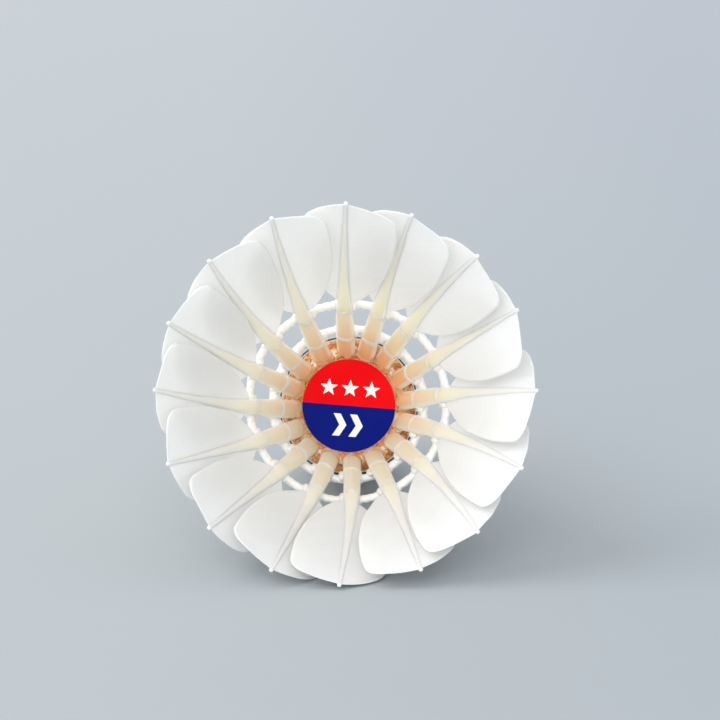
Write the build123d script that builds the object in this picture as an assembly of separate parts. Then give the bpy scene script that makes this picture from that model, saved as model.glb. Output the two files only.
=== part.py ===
from build123d import *
import math
import os

# A feather badminton shuttlecock, in millimetres, lying at rest on its side on the plane z = 0.
# The open end of the skirt faces -Y and the cork faces +Y; the origin is below the middle of its box.
#
# Every piece is made about the shuttle's own axis first. There z = 0 is the cork's top face and z
# grows towards the open end, and angles run clockwise from +Y as seen from the open end.
# lay_down() then turns and shifts the pieces together.

# Skirt
TIP_RADIUS = 33.0        # circle through the quill tips
SKIRT_HEIGHT = 60.0      # cork face to quill tips, along the axis
ROOT_RADIUS = 10.25      # circle through the quills where they leave the cork

# Feathers, clockwise: angle at the cork in degrees, sideways bow at the tip in mm
FEATHERS = [
    (-2.8, 1.6), (18.3, 1.1), (38.0, 3.2), (63.2, 0.4),
    (85.1, 2.2), (106.3, 3.7), (128.6, 4.3), (153.9, 1.6),
    (176.7, 2.9), (199.6, 1.8), (224.0, 0.8), (245.9, 1.4),
    (266.2, 2.8), (287.5, 2.4), (306.8, 4.2), (331.6, 3.1),
]

# Quill: distance from the cork face, width and depth of the oval section
TIP_STUB = 0.8           # quill left standing past the vane's cut edge
ROOT_DEPTH = 7.8         # length glued into the cork
QUILL_SLOPE = math.atan2(TIP_RADIUS - ROOT_RADIUS, SKIRT_HEIGHT)
QUILL_LENGTH = SKIRT_HEIGHT / math.cos(QUILL_SLOPE)
QUILL_SECTIONS = [
    (-ROOT_DEPTH, 1.70, 1.60),
    (0.0, 3.10, 2.45),
    (8.5, 3.10, 2.40),
    (20.0, 2.80, 2.15),
    (32.0, 2.15, 1.70),
    (45.0, 1.45, 1.20),
    (56.0, 0.95, 0.80),
    (QUILL_LENGTH + TIP_STUB, 0.60, 0.50),
]

# Vane: a thin cambered sheet on both sides of the quill, canted so that each feather overlaps the next
VANE_START = 21.9        # distance along the quill where the vane begins
VANE_THICKNESS = 0.3
VANE_CANT = 0.25         # rise towards the axis per mm, clockwise from the quill
VANE_CAMBER = 0.012      # rise per mm squared
VANE_REACH = 11.0        # half width of the sheet before it is trimmed

# Thread rows: height above the cork face
THREAD_ROWS = {"thread_row_lower": 7.6, "thread_row_upper": 18.7}
BINDING_HEIGHT = 2.2     # glued threads between two quills, along the slope
BINDING_THICKNESS = 1.4
BINDING_SUNK = 0.35      # how far the binding's middle lies inside the quill's outer face
BINDING_BULGE = 0.55     # how far it stands out from the straight line between two quills
BINDING_LAP = 0.5        # how far neighbouring bindings run on behind a quill
WRAP_THICKNESS = 0.15    # single thread round a quill
WRAP_HEIGHT = 0.5

# Cork base
CORK_RADIUS = 12.55
SKIN_THICKNESS = 0.3
SKIN_RADIUS = CORK_RADIUS + SKIN_THICKNESS
SIDE_HEIGHT = 12.0       # straight side; the nose below it is a hemisphere
TOP_DISC_HEIGHT = 9.0
BAND_PROUD = 0.2         # ribbon's outer face beyond the skin's
BAND_SUNK = 0.05         # step pressed into the skin under the ribbon
BAND_HEIGHT = 3.6
LABEL_RADIUS = 8.8
LABEL_THICKNESS = 0.12
LABEL_CLEARANCE = 0.05
GLUE_FOOT_RADIUS = 1.70   # where the fillet meets the cork
GLUE_TOP_RADIUS = 1.55
GLUE_HEIGHT = 0.8

# Rest: angle between the shuttle's axis and the table
REST_TILT = 16.063


def quill_point(feather, s):
    """Centre of the quill at distance s from the cork face."""
    root_angle, bow = feather
    radius = ROOT_RADIUS + s * math.sin(QUILL_SLOPE)
    sideways = bow * (max(s, 0.0) / QUILL_LENGTH) ** 2
    angle = math.radians(root_angle) + sideways / radius
    return Vector(radius * math.sin(angle), radius * math.cos(angle), s * math.cos(QUILL_SLOPE))


def feather_plane(feather, s, s_from, s_to):
    """Plane across the quill at s: x clockwise, y outward, z along the chord from s_from to s_to."""
    low = quill_point(feather, s_from)
    high = quill_point(feather, s_to)
    along = (high - low).normalized()
    middle = low + high
    radial = Vector(middle.X, middle.Y, 0.0)
    across = radial.cross(along).normalized()
    return Plane(origin=quill_point(feather, s), x_dir=across, z_dir=along)


def quill_section(feather, s, width, depth):
    """Oval section of the quill, turned with the vane's cant."""
    plane = feather_plane(feather, s, s - 1.0, s + 1.0)
    cant = math.degrees(math.atan(VANE_CANT))
    return plane * Rot(Z=-cant) * Ellipse(width / 2, depth / 2)


def quill_size(s):
    """Width and depth of the quill at s, between its named sections."""
    for (s0, w0, d0), (s1, w1, d1) in zip(QUILL_SECTIONS, QUILL_SECTIONS[1:]):
        if s <= s1:
            share = (s - s0) / (s1 - s0)
            return w0 + share * (w1 - w0), d0 + share * (d1 - d0)
    return QUILL_SECTIONS[-1][1:]


def make_quill(feather):
    return loft([quill_section(feather, *section) for section in QUILL_SECTIONS])


def vane_profile():
    """Section of the untrimmed sheet: a shallow arc with the vane's thickness."""
    def edge(offset):
        return [(x, offset - VANE_CANT * x - VANE_CAMBER * x * x) for x in (-VANE_REACH, 0.0, VANE_REACH)]

    outer = edge(VANE_THICKNESS / 2)
    inner = edge(-VANE_THICKNESS / 2)
    return make_face([
        ThreePointArc(*outer),
        Line(outer[2], inner[2]),
        ThreePointArc(*inner),
        Line(inner[0], outer[0]),
    ])


def vane_outline(top):
    """Trimmed shape of both vanes, flattened: the quill runs up x = 0 from y = 0 to y = top."""
    return make_face([
        Bezier((0.8, 0.0), (6.2, 8.0), (8.9, top - 20.3), (8.9, top - 4.5)),
        Bezier((8.9, top - 4.5), (8.9, top - 1.6), (8.2, top - 0.4), (6.2, top - 0.2)),
        Line((6.2, top - 0.2), (0.0, top)),
        Bezier((0.0, top), (-3.0, top - 1.6), (-6.6, top - 3.6), (-7.4, top - 7.6)),
        Bezier((-7.4, top - 7.6), (-9.4, top - 17.0), (-9.0, top - 34.5), (-0.8, 0.0)),
        Line((-0.8, 0.0), (0.8, 0.0)),
    ])


def make_vane(feather, quill):
    """Both vanes of a feather, parted by its quill."""
    across = feather_plane(feather, VANE_START, VANE_START, QUILL_LENGTH)
    top = (quill_point(feather, QUILL_LENGTH) - across.origin).length
    flat = Plane(origin=across.origin, x_dir=across.x_dir, z_dir=-across.y_dir)
    sheet = extrude(across * vane_profile(), amount=top + 1.0, dir=across.z_dir)
    trim = extrude(flat * vane_outline(top), amount=VANE_REACH, both=True)
    return (sheet & trim) - quill


def thread_anchor(feather, s):
    """Middle of the binding where it passes behind a quill."""
    plane = feather_plane(feather, s, s - 1.0, s + 1.0)
    depth = quill_size(s)[1]
    return plane.origin + plane.y_dir * (depth / 2 - BINDING_SUNK)


def make_link(start, end):
    """Glued threads between two quills, bowed outward: an oval strip that lies along the skirt."""
    lap = (end - start).normalized() * BINDING_LAP
    middle = (start + end) / 2
    radial = Vector(middle.X, middle.Y, 0.0).normalized()
    path = ThreePointArc(start - lap, middle + radial * BINDING_BULGE, end + lap)
    slope = radial * math.sin(QUILL_SLOPE) + Vector(0.0, 0.0, math.cos(QUILL_SLOPE))
    plane = Plane(origin=path @ 0, x_dir=slope, z_dir=path % 0)
    return sweep(plane * Ellipse(BINDING_HEIGHT / 2, BINDING_THICKNESS / 2), path=path)


def make_wrap(feather, s):
    """Single thread round a quill."""
    width, depth = quill_size(s)
    section = quill_section(feather, s, width + 2 * WRAP_THICKNESS, depth + 2 * WRAP_THICKNESS)
    return extrude(section, amount=WRAP_HEIGHT / 2, both=True)


def make_thread_row(height, quills):
    s = height / math.cos(QUILL_SLOPE)
    anchors = [thread_anchor(feather, s) for feather in FEATHERS]
    row = []
    for number, (feather, quill) in enumerate(zip(FEATHERS, quills)):
        link = make_link(anchors[number - 1], anchors[number])
        row += [link - quills[number - 1] - quill, make_wrap(feather, s) - quill]
    return Part() + row


def make_nose_profile(radius, top):
    """Half section of the cork below z = top: straight side, then a quarter circle to the nose."""
    return make_face([
        Line((0.0, top), (radius, top)),
        Line((radius, top), (radius, -SIDE_HEIGHT)),
        RadiusArc((radius, -SIDE_HEIGHT), (0.0, -SIDE_HEIGHT - radius), radius),
        Line((0.0, -SIDE_HEIGHT - radius), (0.0, top)),
    ])


def make_cork_body(radius, top):
    return revolve(Plane.XZ * make_nose_profile(radius, top), axis=Axis.Z)


def make_rim_band():
    ribbon = Cylinder(SKIN_RADIUS + BAND_PROUD, BAND_HEIGHT) - Cylinder(SKIN_RADIUS - BAND_SUNK, BAND_HEIGHT)
    return Pos(Z=-BAND_HEIGHT / 2) * ribbon


def make_cork_top(quills):
    disc = Pos(Z=-TOP_DISC_HEIGHT / 2) * Cylinder(CORK_RADIUS, TOP_DISC_HEIGHT)
    return disc - quills


def make_root_glue(quills):
    """Glue fillet round each quill on the cork face, cut back from the label."""
    taper = (GLUE_FOOT_RADIUS - GLUE_TOP_RADIUS) / GLUE_HEIGHT
    foot = GLUE_FOOT_RADIUS + taper * GLUE_HEIGHT
    fillet = Cone(foot, GLUE_TOP_RADIUS, 2 * GLUE_HEIGHT)
    cork_space = Pos(Z=-GLUE_HEIGHT) * Cylinder(2 * CORK_RADIUS, 2 * GLUE_HEIGHT)
    label_space = Cylinder(LABEL_RADIUS + LABEL_CLEARANCE, 6 * GLUE_HEIGHT)
    fillets = []
    for feather, quill in zip(FEATHERS, quills):
        stand = feather_plane(feather, 0.0, -1.0, 1.0)
        fillets.append(stand * fillet - cork_space - label_space - quill)
    return fillets


def make_shuttle():
    """Every piece by name, about the shuttle's own axis."""
    quills = [make_quill(feather) for feather in FEATHERS]
    rim_band = make_rim_band()
    skin = make_cork_body(SKIN_RADIUS, 0.0) - make_cork_body(CORK_RADIUS, 0.0)
    pieces = {
        "cork_top": make_cork_top(quills),
        "cork_nose": make_cork_body(CORK_RADIUS, -TOP_DISC_HEIGHT),
        "leather_skin": skin - rim_band,
        "rim_band": rim_band,
        "label": Pos(Z=LABEL_THICKNESS / 2) * Cylinder(LABEL_RADIUS, LABEL_THICKNESS),
        "root_glue": Compound(make_root_glue(quills)),
    }
    for name, height in THREAD_ROWS.items():
        pieces[name] = make_thread_row(height, quills)
    for number, (feather, quill) in enumerate(zip(FEATHERS, quills), start=1):
        pieces[f"feather_{number:02d}_quill"] = quill
        pieces[f"feather_{number:02d}_vane"] = make_vane(feather, quill)
    return pieces


def lay_down(pieces):
    """Lay the shuttle on z = 0 on its cork and its lowest feathers, over the middle of its box."""
    turned = {name: Rot(X=90.0 - REST_TILT) * piece for name, piece in pieces.items()}
    boxes = [piece.bounding_box() for piece in turned.values()]
    low = [min(getattr(box.min, axis) for box in boxes) for axis in "XYZ"]
    high = [max(getattr(box.max, axis) for box in boxes) for axis in "XY"]
    shift = Pos(-(low[0] + high[0]) / 2, -(low[1] + high[1]) / 2, -low[2])
    return {name: shift * piece for name, piece in turned.items()}


laid = lay_down(make_shuttle())
cork_low = laid["leather_skin"].bounding_box().min.Z
feather_low = min(p.bounding_box().min.Z for name, p in laid.items() if name.startswith("feather"))
print(f"lowest points: cork {cork_low:.3f} mm, feathers {feather_low:.3f} mm")

os.makedirs("parts", exist_ok=True)
for name, piece in laid.items():
    piece.label = name
    export_step(piece, f"parts/{name}.step")
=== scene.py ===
import math

import bpy
import numpy as np
from mathutils import Matrix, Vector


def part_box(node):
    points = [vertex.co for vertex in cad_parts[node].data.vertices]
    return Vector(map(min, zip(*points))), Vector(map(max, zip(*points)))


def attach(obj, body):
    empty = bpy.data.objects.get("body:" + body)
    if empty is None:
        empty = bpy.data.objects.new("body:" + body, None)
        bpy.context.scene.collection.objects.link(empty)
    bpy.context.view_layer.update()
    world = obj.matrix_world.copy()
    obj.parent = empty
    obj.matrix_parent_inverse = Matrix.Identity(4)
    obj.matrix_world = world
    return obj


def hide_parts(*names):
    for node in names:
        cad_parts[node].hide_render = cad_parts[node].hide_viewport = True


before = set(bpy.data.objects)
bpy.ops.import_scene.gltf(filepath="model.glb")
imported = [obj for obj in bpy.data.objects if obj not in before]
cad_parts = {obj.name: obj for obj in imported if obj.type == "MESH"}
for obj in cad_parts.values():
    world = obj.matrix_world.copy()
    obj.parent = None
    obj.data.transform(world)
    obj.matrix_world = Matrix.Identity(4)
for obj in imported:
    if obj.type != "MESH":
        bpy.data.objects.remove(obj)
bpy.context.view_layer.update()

# A feather shuttlecock lying on its side. Shapes are worked out about the shuttle's own axis, in
# millimetres: z = 0 is the cork's top face, z grows towards the open end, +y is up across the axis,
# and angles run clockwise from +y as seen from the open end. to_row() takes them to the row frame.
MM = 0.001
REST_TILT = math.radians(16.063)
LABEL_THICKNESS = 0.12
RIGHT = np.array([1.0, 0.0, 0.0])
UP = np.array([0.0, math.sin(REST_TILT), math.cos(REST_TILT)])
AXIS = np.array([0.0, -math.cos(REST_TILT), math.sin(REST_TILT)])
LABEL_CENTRE = np.mean([np.array(corner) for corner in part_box("label")], axis=0)
FACE_CENTRE = LABEL_CENTRE - AXIS * LABEL_THICKNESS / 2 * MM

# Skirt, as in the CAD model apart from the quills' widths
TIP_RADIUS = 33.0
SKIRT_HEIGHT = 60.0
ROOT_RADIUS = 10.25
QUILL_SLOPE = math.atan2(TIP_RADIUS - ROOT_RADIUS, SKIRT_HEIGHT)
QUILL_LENGTH = SKIRT_HEIGHT / math.cos(QUILL_SLOPE)
ROOT_DEPTH = 7.8
TIP_STUB = 0.8
VANE_START = 21.9
VANE_CANT = 0.25
VANE_CAMBER = 0.012
FEATHERS = [
    (-2.8, 1.6), (18.3, 1.1), (38.0, 3.2), (63.2, 0.4),
    (85.1, 2.2), (106.3, 3.7), (128.6, 4.3), (153.9, 1.6),
    (176.7, 2.9), (199.6, 1.8), (224.0, 0.8), (245.9, 1.4),
    (266.2, 2.8), (287.5, 2.4), (306.8, 4.2), (331.6, 3.1),
]
# distance from the cork face, width, depth; wider than the CAD quill near the cork for its coat of
# glue, and a little narrower along the vanes
QUILL_SECTIONS = np.array([
    (-ROOT_DEPTH, 1.70, 1.60),
    (0.0, 3.50, 2.45),
    (8.5, 3.50, 2.40),
    (20.0, 3.05, 2.15),
    (27.0, 2.40, 1.88),
    (33.0, 1.95, 1.66),
    (45.0, 1.35, 1.20),
    (56.0, 0.90, 0.80),
    (QUILL_LENGTH + TIP_STUB, 0.60, 0.50),
])
THREAD_ROWS = {"thread_row_lower": 7.6, "thread_row_upper": 18.7}

# Cork base, as in the CAD model
CORK_RADIUS = 12.55
SKIN_RADIUS = 12.85
SIDE_HEIGHT = 12.0
TOP_DISC_HEIGHT = 9.0
BAND_OUTER = 13.05
BAND_INNER = 12.80
BAND_HEIGHT = 3.6
LABEL_RADIUS = 8.8


# ------------------------ numbers and fields

def to_row(points):
    """Shuttle frame in mm to row frame in metres."""
    return FACE_CENTRE + MM * np.asarray(points) @ np.stack([RIGHT, UP, AXIS])


def unit(vector):
    return vector / np.linalg.norm(vector)


WAVES = 7


def ripple(points, seed, wavelength):
    """Smooth wandering field of about unit size: a sum of seeded plane waves."""
    rng = np.random.default_rng(seed)
    points = np.asarray(points, float)
    total = np.zeros(points.shape[:-1])
    for _ in range(WAVES):
        direction = unit(rng.normal(size=points.shape[-1]))
        stretch = rng.uniform(0.7, 1.6)
        phase = rng.uniform(0.0, 2 * math.pi)
        total += np.sin(points @ direction * (2 * math.pi * stretch / wavelength) + phase)
    return total / math.sqrt(WAVES)


def full_turn(count):
    """Angles spaced evenly round a circle."""
    return np.linspace(0.0, 2 * math.pi, count, endpoint=False)


def smooth_step(x, low, high):
    t = np.clip((x - low) / (high - low), 0.0, 1.0)
    return t * t * (3.0 - 2.0 * t)


def bezier(points, count):
    """Points along a cubic curve, its last point left out."""
    p = np.array(points, float)
    t = np.linspace(0.0, 1.0, count, endpoint=False)[:, None]
    return (1 - t) ** 3 * p[0] + 3 * (1 - t) ** 2 * t * p[1] + 3 * (1 - t) * t ** 2 * p[2] + t ** 3 * p[3]


# ------------------------ mesh helpers

def grid_faces(rows, cols, wrap_rows=False, wrap_cols=False):
    """Quads over a rows x cols grid of vertices."""
    r = np.arange(rows if wrap_rows else rows - 1)
    c = np.arange(cols if wrap_cols else cols - 1)
    r, c = np.meshgrid(r, c, indexing="ij")
    r2, c2 = (r + 1) % rows, (c + 1) % cols
    quads = np.stack([r * cols + c, r * cols + c2, r2 * cols + c2, r2 * cols + c], axis=-1)
    return quads.reshape(-1, 4)


def tube_faces(rows, cols):
    """A closed tube: rows of rings, each of cols points, with a fan cap's two centre points last."""
    sides = grid_faces(rows, cols, wrap_cols=True).tolist()
    first, last = rows * cols, rows * cols + 1
    ring = np.arange(cols)
    after = (ring + 1) % cols
    start = [[first, int(b), int(a)] for a, b in zip(ring, after)]
    end = [[last, int(a) + (rows - 1) * cols, int(b) + (rows - 1) * cols] for a, b in zip(ring, after)]
    return sides + start + end


def tube_points(rings):
    """Ring points (rows, cols, 3) with the two cap centres added."""
    flat = rings.reshape(-1, 3)
    return np.concatenate([flat, rings[:1].mean(axis=1), rings[-1:].mean(axis=1)])


def new_mesh(name, points, faces, smooth=True):
    mesh = bpy.data.meshes.new(name)
    mesh.from_pydata(to_row(points).tolist(), [], faces if isinstance(faces, list) else faces.tolist())
    mesh.validate()
    if smooth:
        mesh.polygons.foreach_set("use_smooth", [True] * len(mesh.polygons))
    return mesh


def add_object(name, data):
    item = bpy.data.objects.new(name, data)
    bpy.context.scene.collection.objects.link(item)
    return item


def add_values(mesh, name, values):
    """A number at every vertex, read by the material."""
    layer = mesh.attributes.new(name, "FLOAT", "POINT")
    layer.data.foreach_set("value", np.asarray(values, np.float32).ravel())


def add_uv(mesh, uv):
    layer = mesh.uv_layers.new(name="UVMap")
    index = np.zeros(len(mesh.loops), np.int32)
    mesh.loops.foreach_get("vertex_index", index)
    layer.data.foreach_set("uv", np.asarray(uv, np.float32)[index].ravel())


def add_piece(name, mesh, material, slot, *nodes):
    """Put a finished mesh in the scene, on the shuttle's one body, in place of CAD nodes."""
    piece = add_object(name, mesh)
    mesh.materials.clear()
    mesh.materials.append(material)
    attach(piece, "root")
    if nodes:
        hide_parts(*nodes)
    return piece


def lathe(profile, segments):
    """Points of a profile (radius, z) turned about the axis, as a grid (segments, profile, 3)."""
    angle = full_turn(segments)[:, None]
    radius, z = profile[:, 0], profile[:, 1]
    heights = np.broadcast_to(z, (segments, len(z)))
    return np.stack([np.sin(angle) * radius, np.cos(angle) * radius, heights], axis=-1)


def gather(shells):
    """Points and faces of several shells as one list of each."""
    points, faces, offset = [], [], 0
    for shell_points, shell_faces in shells:
        points.append(shell_points)
        faces += [[int(i) + offset for i in face] for face in shell_faces]
        offset += len(shell_points)
    return np.concatenate(points), faces


def fuse(name, shells, voxel, smoothing):
    """Join closed shells into one skin by voxel remesh, then relax it."""
    points, faces = gather(shells)
    source = add_object(name + "_parts", new_mesh(name + "_parts", points, faces))
    remesh = source.modifiers.new("fuse", "REMESH")
    remesh.mode = "VOXEL"
    remesh.voxel_size = voxel * MM
    relax = source.modifiers.new("relax", "SMOOTH")
    relax.factor = 0.5
    relax.iterations = smoothing
    view = bpy.context.evaluated_depsgraph_get()
    mesh = bpy.data.meshes.new_from_object(source.evaluated_get(view))
    mesh.name = name
    mesh.polygons.foreach_set("use_smooth", [True] * len(mesh.polygons))
    bpy.data.objects.remove(source)
    return mesh


# ------------------------ feather geometry

def quill_point(feather, s):
    """Centre of the quill at distance s from the cork face."""
    root_angle, bow = feather
    s = np.asarray(s, float)
    radius = ROOT_RADIUS + s * math.sin(QUILL_SLOPE)
    sideways = bow * (np.maximum(s, 0.0) / QUILL_LENGTH) ** 2
    angle = math.radians(root_angle) + sideways / radius
    return np.stack([radius * np.sin(angle), radius * np.cos(angle), s * math.cos(QUILL_SLOPE)], axis=-1)


def feather_axes(feather, s_from, s_to):
    """Across (clockwise), outward and along directions of the chord between two quill points."""
    low, high = quill_point(feather, s_from), quill_point(feather, s_to)
    along = unit(high - low)
    radial = (low + high) * np.array([1.0, 1.0, 0.0])
    across = unit(np.cross(radial, along))
    return across, np.cross(along, across), along


def quill_size(s):
    """Width and depth of the quill at s."""
    width = np.interp(s, QUILL_SECTIONS[:, 0], QUILL_SECTIONS[:, 1])
    depth = np.interp(s, QUILL_SECTIONS[:, 0], QUILL_SECTIONS[:, 2])
    return width, depth


def quill_axes(feather, s):
    """Axes of the oval at s, turned with the vane's cant."""
    across, outward, along = feather_axes(feather, s - 1.0, s + 1.0)
    cant = math.atan(VANE_CANT)
    wide = across * math.cos(cant) - outward * math.sin(cant)
    deep = across * math.sin(cant) + outward * math.cos(cant)
    return wide, deep, along


QUILL_RINGS = 150
QUILL_SIDES = 28
QUILL_UV_SPAN = 70.0
TIP_SWELL = 1.28


def build_quill(number, feather):
    """Quill: round where it is glued in, then a rounded rectangle with a flat inner face."""
    stations = np.concatenate([
        np.linspace(-ROOT_DEPTH, QUILL_LENGTH - 0.2, QUILL_RINGS),
        QUILL_LENGTH + np.array([0.1, 0.3, 0.5, 0.65, 0.75, TIP_STUB]),
    ])
    turn = full_turn(QUILL_SIDES)
    rings, uv = [], []
    for s in stations:
        width, depth = quill_size(s)
        wide, deep, _ = quill_axes(feather, s)
        square = 2.0 + 0.7 * smooth_step(s, 12.0, 28.0)
        cosine, sine = np.cos(turn), np.sin(turn)
        x = np.sign(cosine) * np.abs(cosine) ** (2 / square) * width / 2
        y = np.sign(sine) * np.abs(sine) ** (2 / square) * depth / 2
        # between the vanes the inner face is flat and stands only a little proud of them
        flat_depth = max(0.22 * depth, 0.24)
        share = smooth_step(s, VANE_START - 1.0, 32.0)
        y = np.where(sine < 0, y * (1.0 + (2.0 * flat_depth / depth - 1.0) * share), y)
        swell = 1.0 + 0.015 * ripple(np.array([s, number * 40.0]), 5, 9.0)
        if s > QUILL_LENGTH:
            # the cut end swells a little and rounds off
            swell *= TIP_SWELL * math.sqrt(max(0.05, 1.0 - ((s - QUILL_LENGTH - 0.35) / 0.5) ** 2))
        ring = quill_point(feather, s) + swell * (x[:, None] * wide + y[:, None] * deep)
        rings.append(ring)
        uv.append(np.stack([turn / (2 * math.pi), np.full(QUILL_SIDES, s / QUILL_UV_SPAN)], axis=-1))
    rings, uv = np.array(rings), np.array(uv)
    points = tube_points(rings)
    mesh = new_mesh(f"quill_{number:02d}", points, tube_faces(*rings.shape[:2]))
    ends = np.array([[0.5, s / QUILL_UV_SPAN] for s in stations[[0, -1]]])
    add_uv(mesh, np.concatenate([uv.reshape(-1, 2), ends]))
    side = np.broadcast_to(np.abs(np.cos(turn)), rings.shape[:2]).ravel()
    along = np.repeat(stations, QUILL_SIDES)
    add_values(mesh, "along", np.concatenate([along, stations[[0, -1]]]))
    add_values(mesh, "side", np.concatenate([side, [0.0, 0.0]]))
    warm = 0.45 + 0.45 * math.cos(math.radians(feather[0] - 20.0)) + 0.12 * math.sin(5.0 * number)
    add_values(mesh, "warm", np.full(len(points), warm))
    node = f"feather_{number:02d}_quill"
    return add_piece(f"{node}_horn", mesh, QUILL_MATERIAL, "quill", node)


# Trimmed outline of the vanes, flattened: the quill runs up x = 0 from y = 0 to y = VANE_LENGTH
VANE_LENGTH = QUILL_LENGTH - VANE_START
BARB_PITCH = 0.42
ROWS_PER_BARB = 4
BARB_COLUMNS = 15
BARB_STEPS = 420
BARB_STEP = 0.05
SHEET_HALF = 0.105
RIDGE_HEIGHT = 0.030
FRAY = 0.05
VANE_UV_SPAN = 50.0


def outline(side):
    """Closed outline of one vane: +1 is the clockwise vane and -1 the other."""
    top = VANE_LENGTH
    if side > 0:
        parts = [
            bezier([(0.8, 0.0), (6.2, 8.0), (8.9, top - 20.3), (8.9, top - 4.5)], 50),
            bezier([(8.9, top - 4.5), (8.9, top - 1.6), (8.2, top - 0.4), (6.2, top - 0.2)], 20),
            np.array([(6.2, top - 0.2), (0.0, top), (-1.0, top), (-1.0, 0.0)]),
        ]
    else:
        parts = [
            bezier([(0.0, top), (-3.0, top - 1.6), (-6.6, top - 3.6), (-7.4, top - 7.6)], 20),
            bezier([(-7.4, top - 7.6), (-9.4, top - 17.0), (-9.0, top - 34.5), (-0.8, 0.0)], 50),
            np.array([(-0.8, 0.0), (1.0, 0.0), (1.0, top)]),
        ]
    return np.concatenate(parts)


def inside(points, polygon):
    """True where a point lies inside a closed polygon (crossing count)."""
    x, y = points[..., 0], points[..., 1]
    result = np.zeros(x.shape, bool)
    for (x0, y0), (x1, y1) in zip(polygon, np.roll(polygon, -1, axis=0)):
        if y0 == y1:
            continue
        crosses = ((y0 > y) != (y1 > y)) & (x < (x1 - x0) * (y - y0) / (y1 - y0) + x0)
        result ^= crosses
    return result


def barb_grid(side):
    """Flat places of every barb line of one vane, from the quill out to the trimmed edge."""
    rows = int((VANE_LENGTH - 0.9) / BARB_PITCH * ROWS_PER_BARB)
    root = np.linspace(0.4, VANE_LENGTH - 0.35, rows)
    length = np.arange(BARB_STEPS) * BARB_STEP
    lean = math.radians(44.0 if side > 0 else 38.0)
    curl = math.radians(13.0)
    heading = lean - curl * smooth_step(length, 0.0, 10.0)
    x = np.cumsum(np.sin(heading)) * BARB_STEP
    y = np.cumsum(np.cos(heading)) * BARB_STEP
    width, _ = quill_size(VANE_START + root)
    start = 0.3 * width / 2
    path = np.stack([
        side * (start[:, None] + x[None, :]),
        root[:, None] + y[None, :],
    ], axis=-1)
    within = inside(path, outline(side))
    within[:, 0] = True
    reach = np.argmin(within, axis=1)
    reach = np.where(reach == 0, BARB_STEPS - 1, reach)
    share = np.linspace(0.0, 1.0, BARB_COLUMNS)
    place = np.maximum(reach - 1, 4)[:, None] * share[None, :]
    low = np.floor(place).astype(int)
    low = np.minimum(low, BARB_STEPS - 2)
    part = (place - low)[..., None]
    index = np.arange(rows)[:, None]
    flat = path[index, low] * (1 - part) + path[index, low + 1] * part
    return flat, place * BARB_STEP, share


BARB_GRIDS = {side: barb_grid(side) for side in (1, -1)}


def build_vane_side(number, feather, side, rng):
    """Points, faces and values of one vane: two barbed faces and a thin rim between them."""
    flat, length, share = BARB_GRIDS[side]
    rows, cols = flat.shape[:2]
    across, outward, along = feather_axes(feather, VANE_START, QUILL_LENGTH)
    base = quill_point(feather, VANE_START)
    chord = np.linalg.norm(quill_point(feather, QUILL_LENGTH) - base)
    broad = 1.0 + rng.uniform(-0.035, 0.02)
    x = flat[..., 0] * (1.0 + (broad - 1.0) * share)
    y = flat[..., 1] * chord / VANE_LENGTH
    quill_off = (quill_point(feather, VANE_START + flat[:, 0, 1]) - base) @ across
    x = x + quill_off[:, None] * (1.0 - 0.6 * share)

    # the sheet's form: cant and camber, a slow wave, and a lift along the free edge
    cant = VANE_CANT + rng.uniform(-0.015, 0.015)
    camber = VANE_CAMBER + rng.uniform(-0.002, 0.004)
    form = -(cant * x + camber * x * x)
    foot = VANE_START + flat[:, 0, 1]
    sunk = 0.05 * quill_size(foot)[1]
    form -= sunk[:, None] * (1.0 - smooth_step(share, 0.0, 0.5))
    place = np.stack([x, y], axis=-1)
    form += 0.10 * ripple(place, number * 10 + side, 22.0) * share
    form += 0.035 * ripple(place * np.array([1.0, 1.6]), number * 10 + side + 3, 7.0) * share ** 2

    # barbs: fine ridges that fade towards the edge, and tips of slightly different length
    phase = np.arange(rows) / ROWS_PER_BARB
    ridge = 0.5 - 0.5 * np.cos(2 * math.pi * phase)
    barb = np.floor(phase).astype(int)
    barb_count = barb.max() + 1
    shade = rng.normal(size=barb_count)
    bundle = np.convolve(rng.normal(size=barb_count + 8), np.ones(9) / 3.0, mode="valid")
    shade = (0.5 * shade + bundle)[barb]
    fray = rng.uniform(-1.0, 0.25, barb_count)[barb] * FRAY
    heading = np.gradient(place, axis=1)
    heading /= np.linalg.norm(heading, axis=-1, keepdims=True) + 1e-9
    place = place + heading * (fray[:, None] * smooth_step(share, 0.85, 1.0))[..., None]
    half = SHEET_HALF * (1.0 - 0.45 * share ** 3)
    depth = half + RIDGE_HEIGHT * ridge[:, None] * (1.0 - 0.4 * share)

    def sheet(sign):
        lift = form + sign * depth
        return base + place[..., :1] * across + place[..., 1:] * along + lift[..., None] * outward

    ring = np.concatenate([sheet(1.0), sheet(-1.0)[:, ::-1]], axis=1)
    points = ring.reshape(-1, 3)
    faces = grid_faces(rows, 2 * cols, wrap_cols=True)
    c = np.arange(cols - 1)
    cap = np.stack([c, 2 * cols - 1 - c, 2 * cols - 2 - c, c + 1], axis=-1)
    last = cap[:, ::-1] + (rows - 1) * 2 * cols
    faces = np.concatenate([faces, cap, last])
    if side < 0:
        faces = faces[:, ::-1]
    mirrored = np.concatenate([share, share[::-1]])
    edge = np.broadcast_to(mirrored, (rows, 2 * cols)).ravel()
    tones = np.repeat(shade, 2 * cols)
    run = np.concatenate([length, length[:, ::-1]], axis=1).ravel()
    uv = np.stack([np.repeat(flat[:, 0, 1], 2 * cols) / VANE_UV_SPAN, run / VANE_UV_SPAN], axis=-1)
    return points, faces, edge, tones, uv


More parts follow.
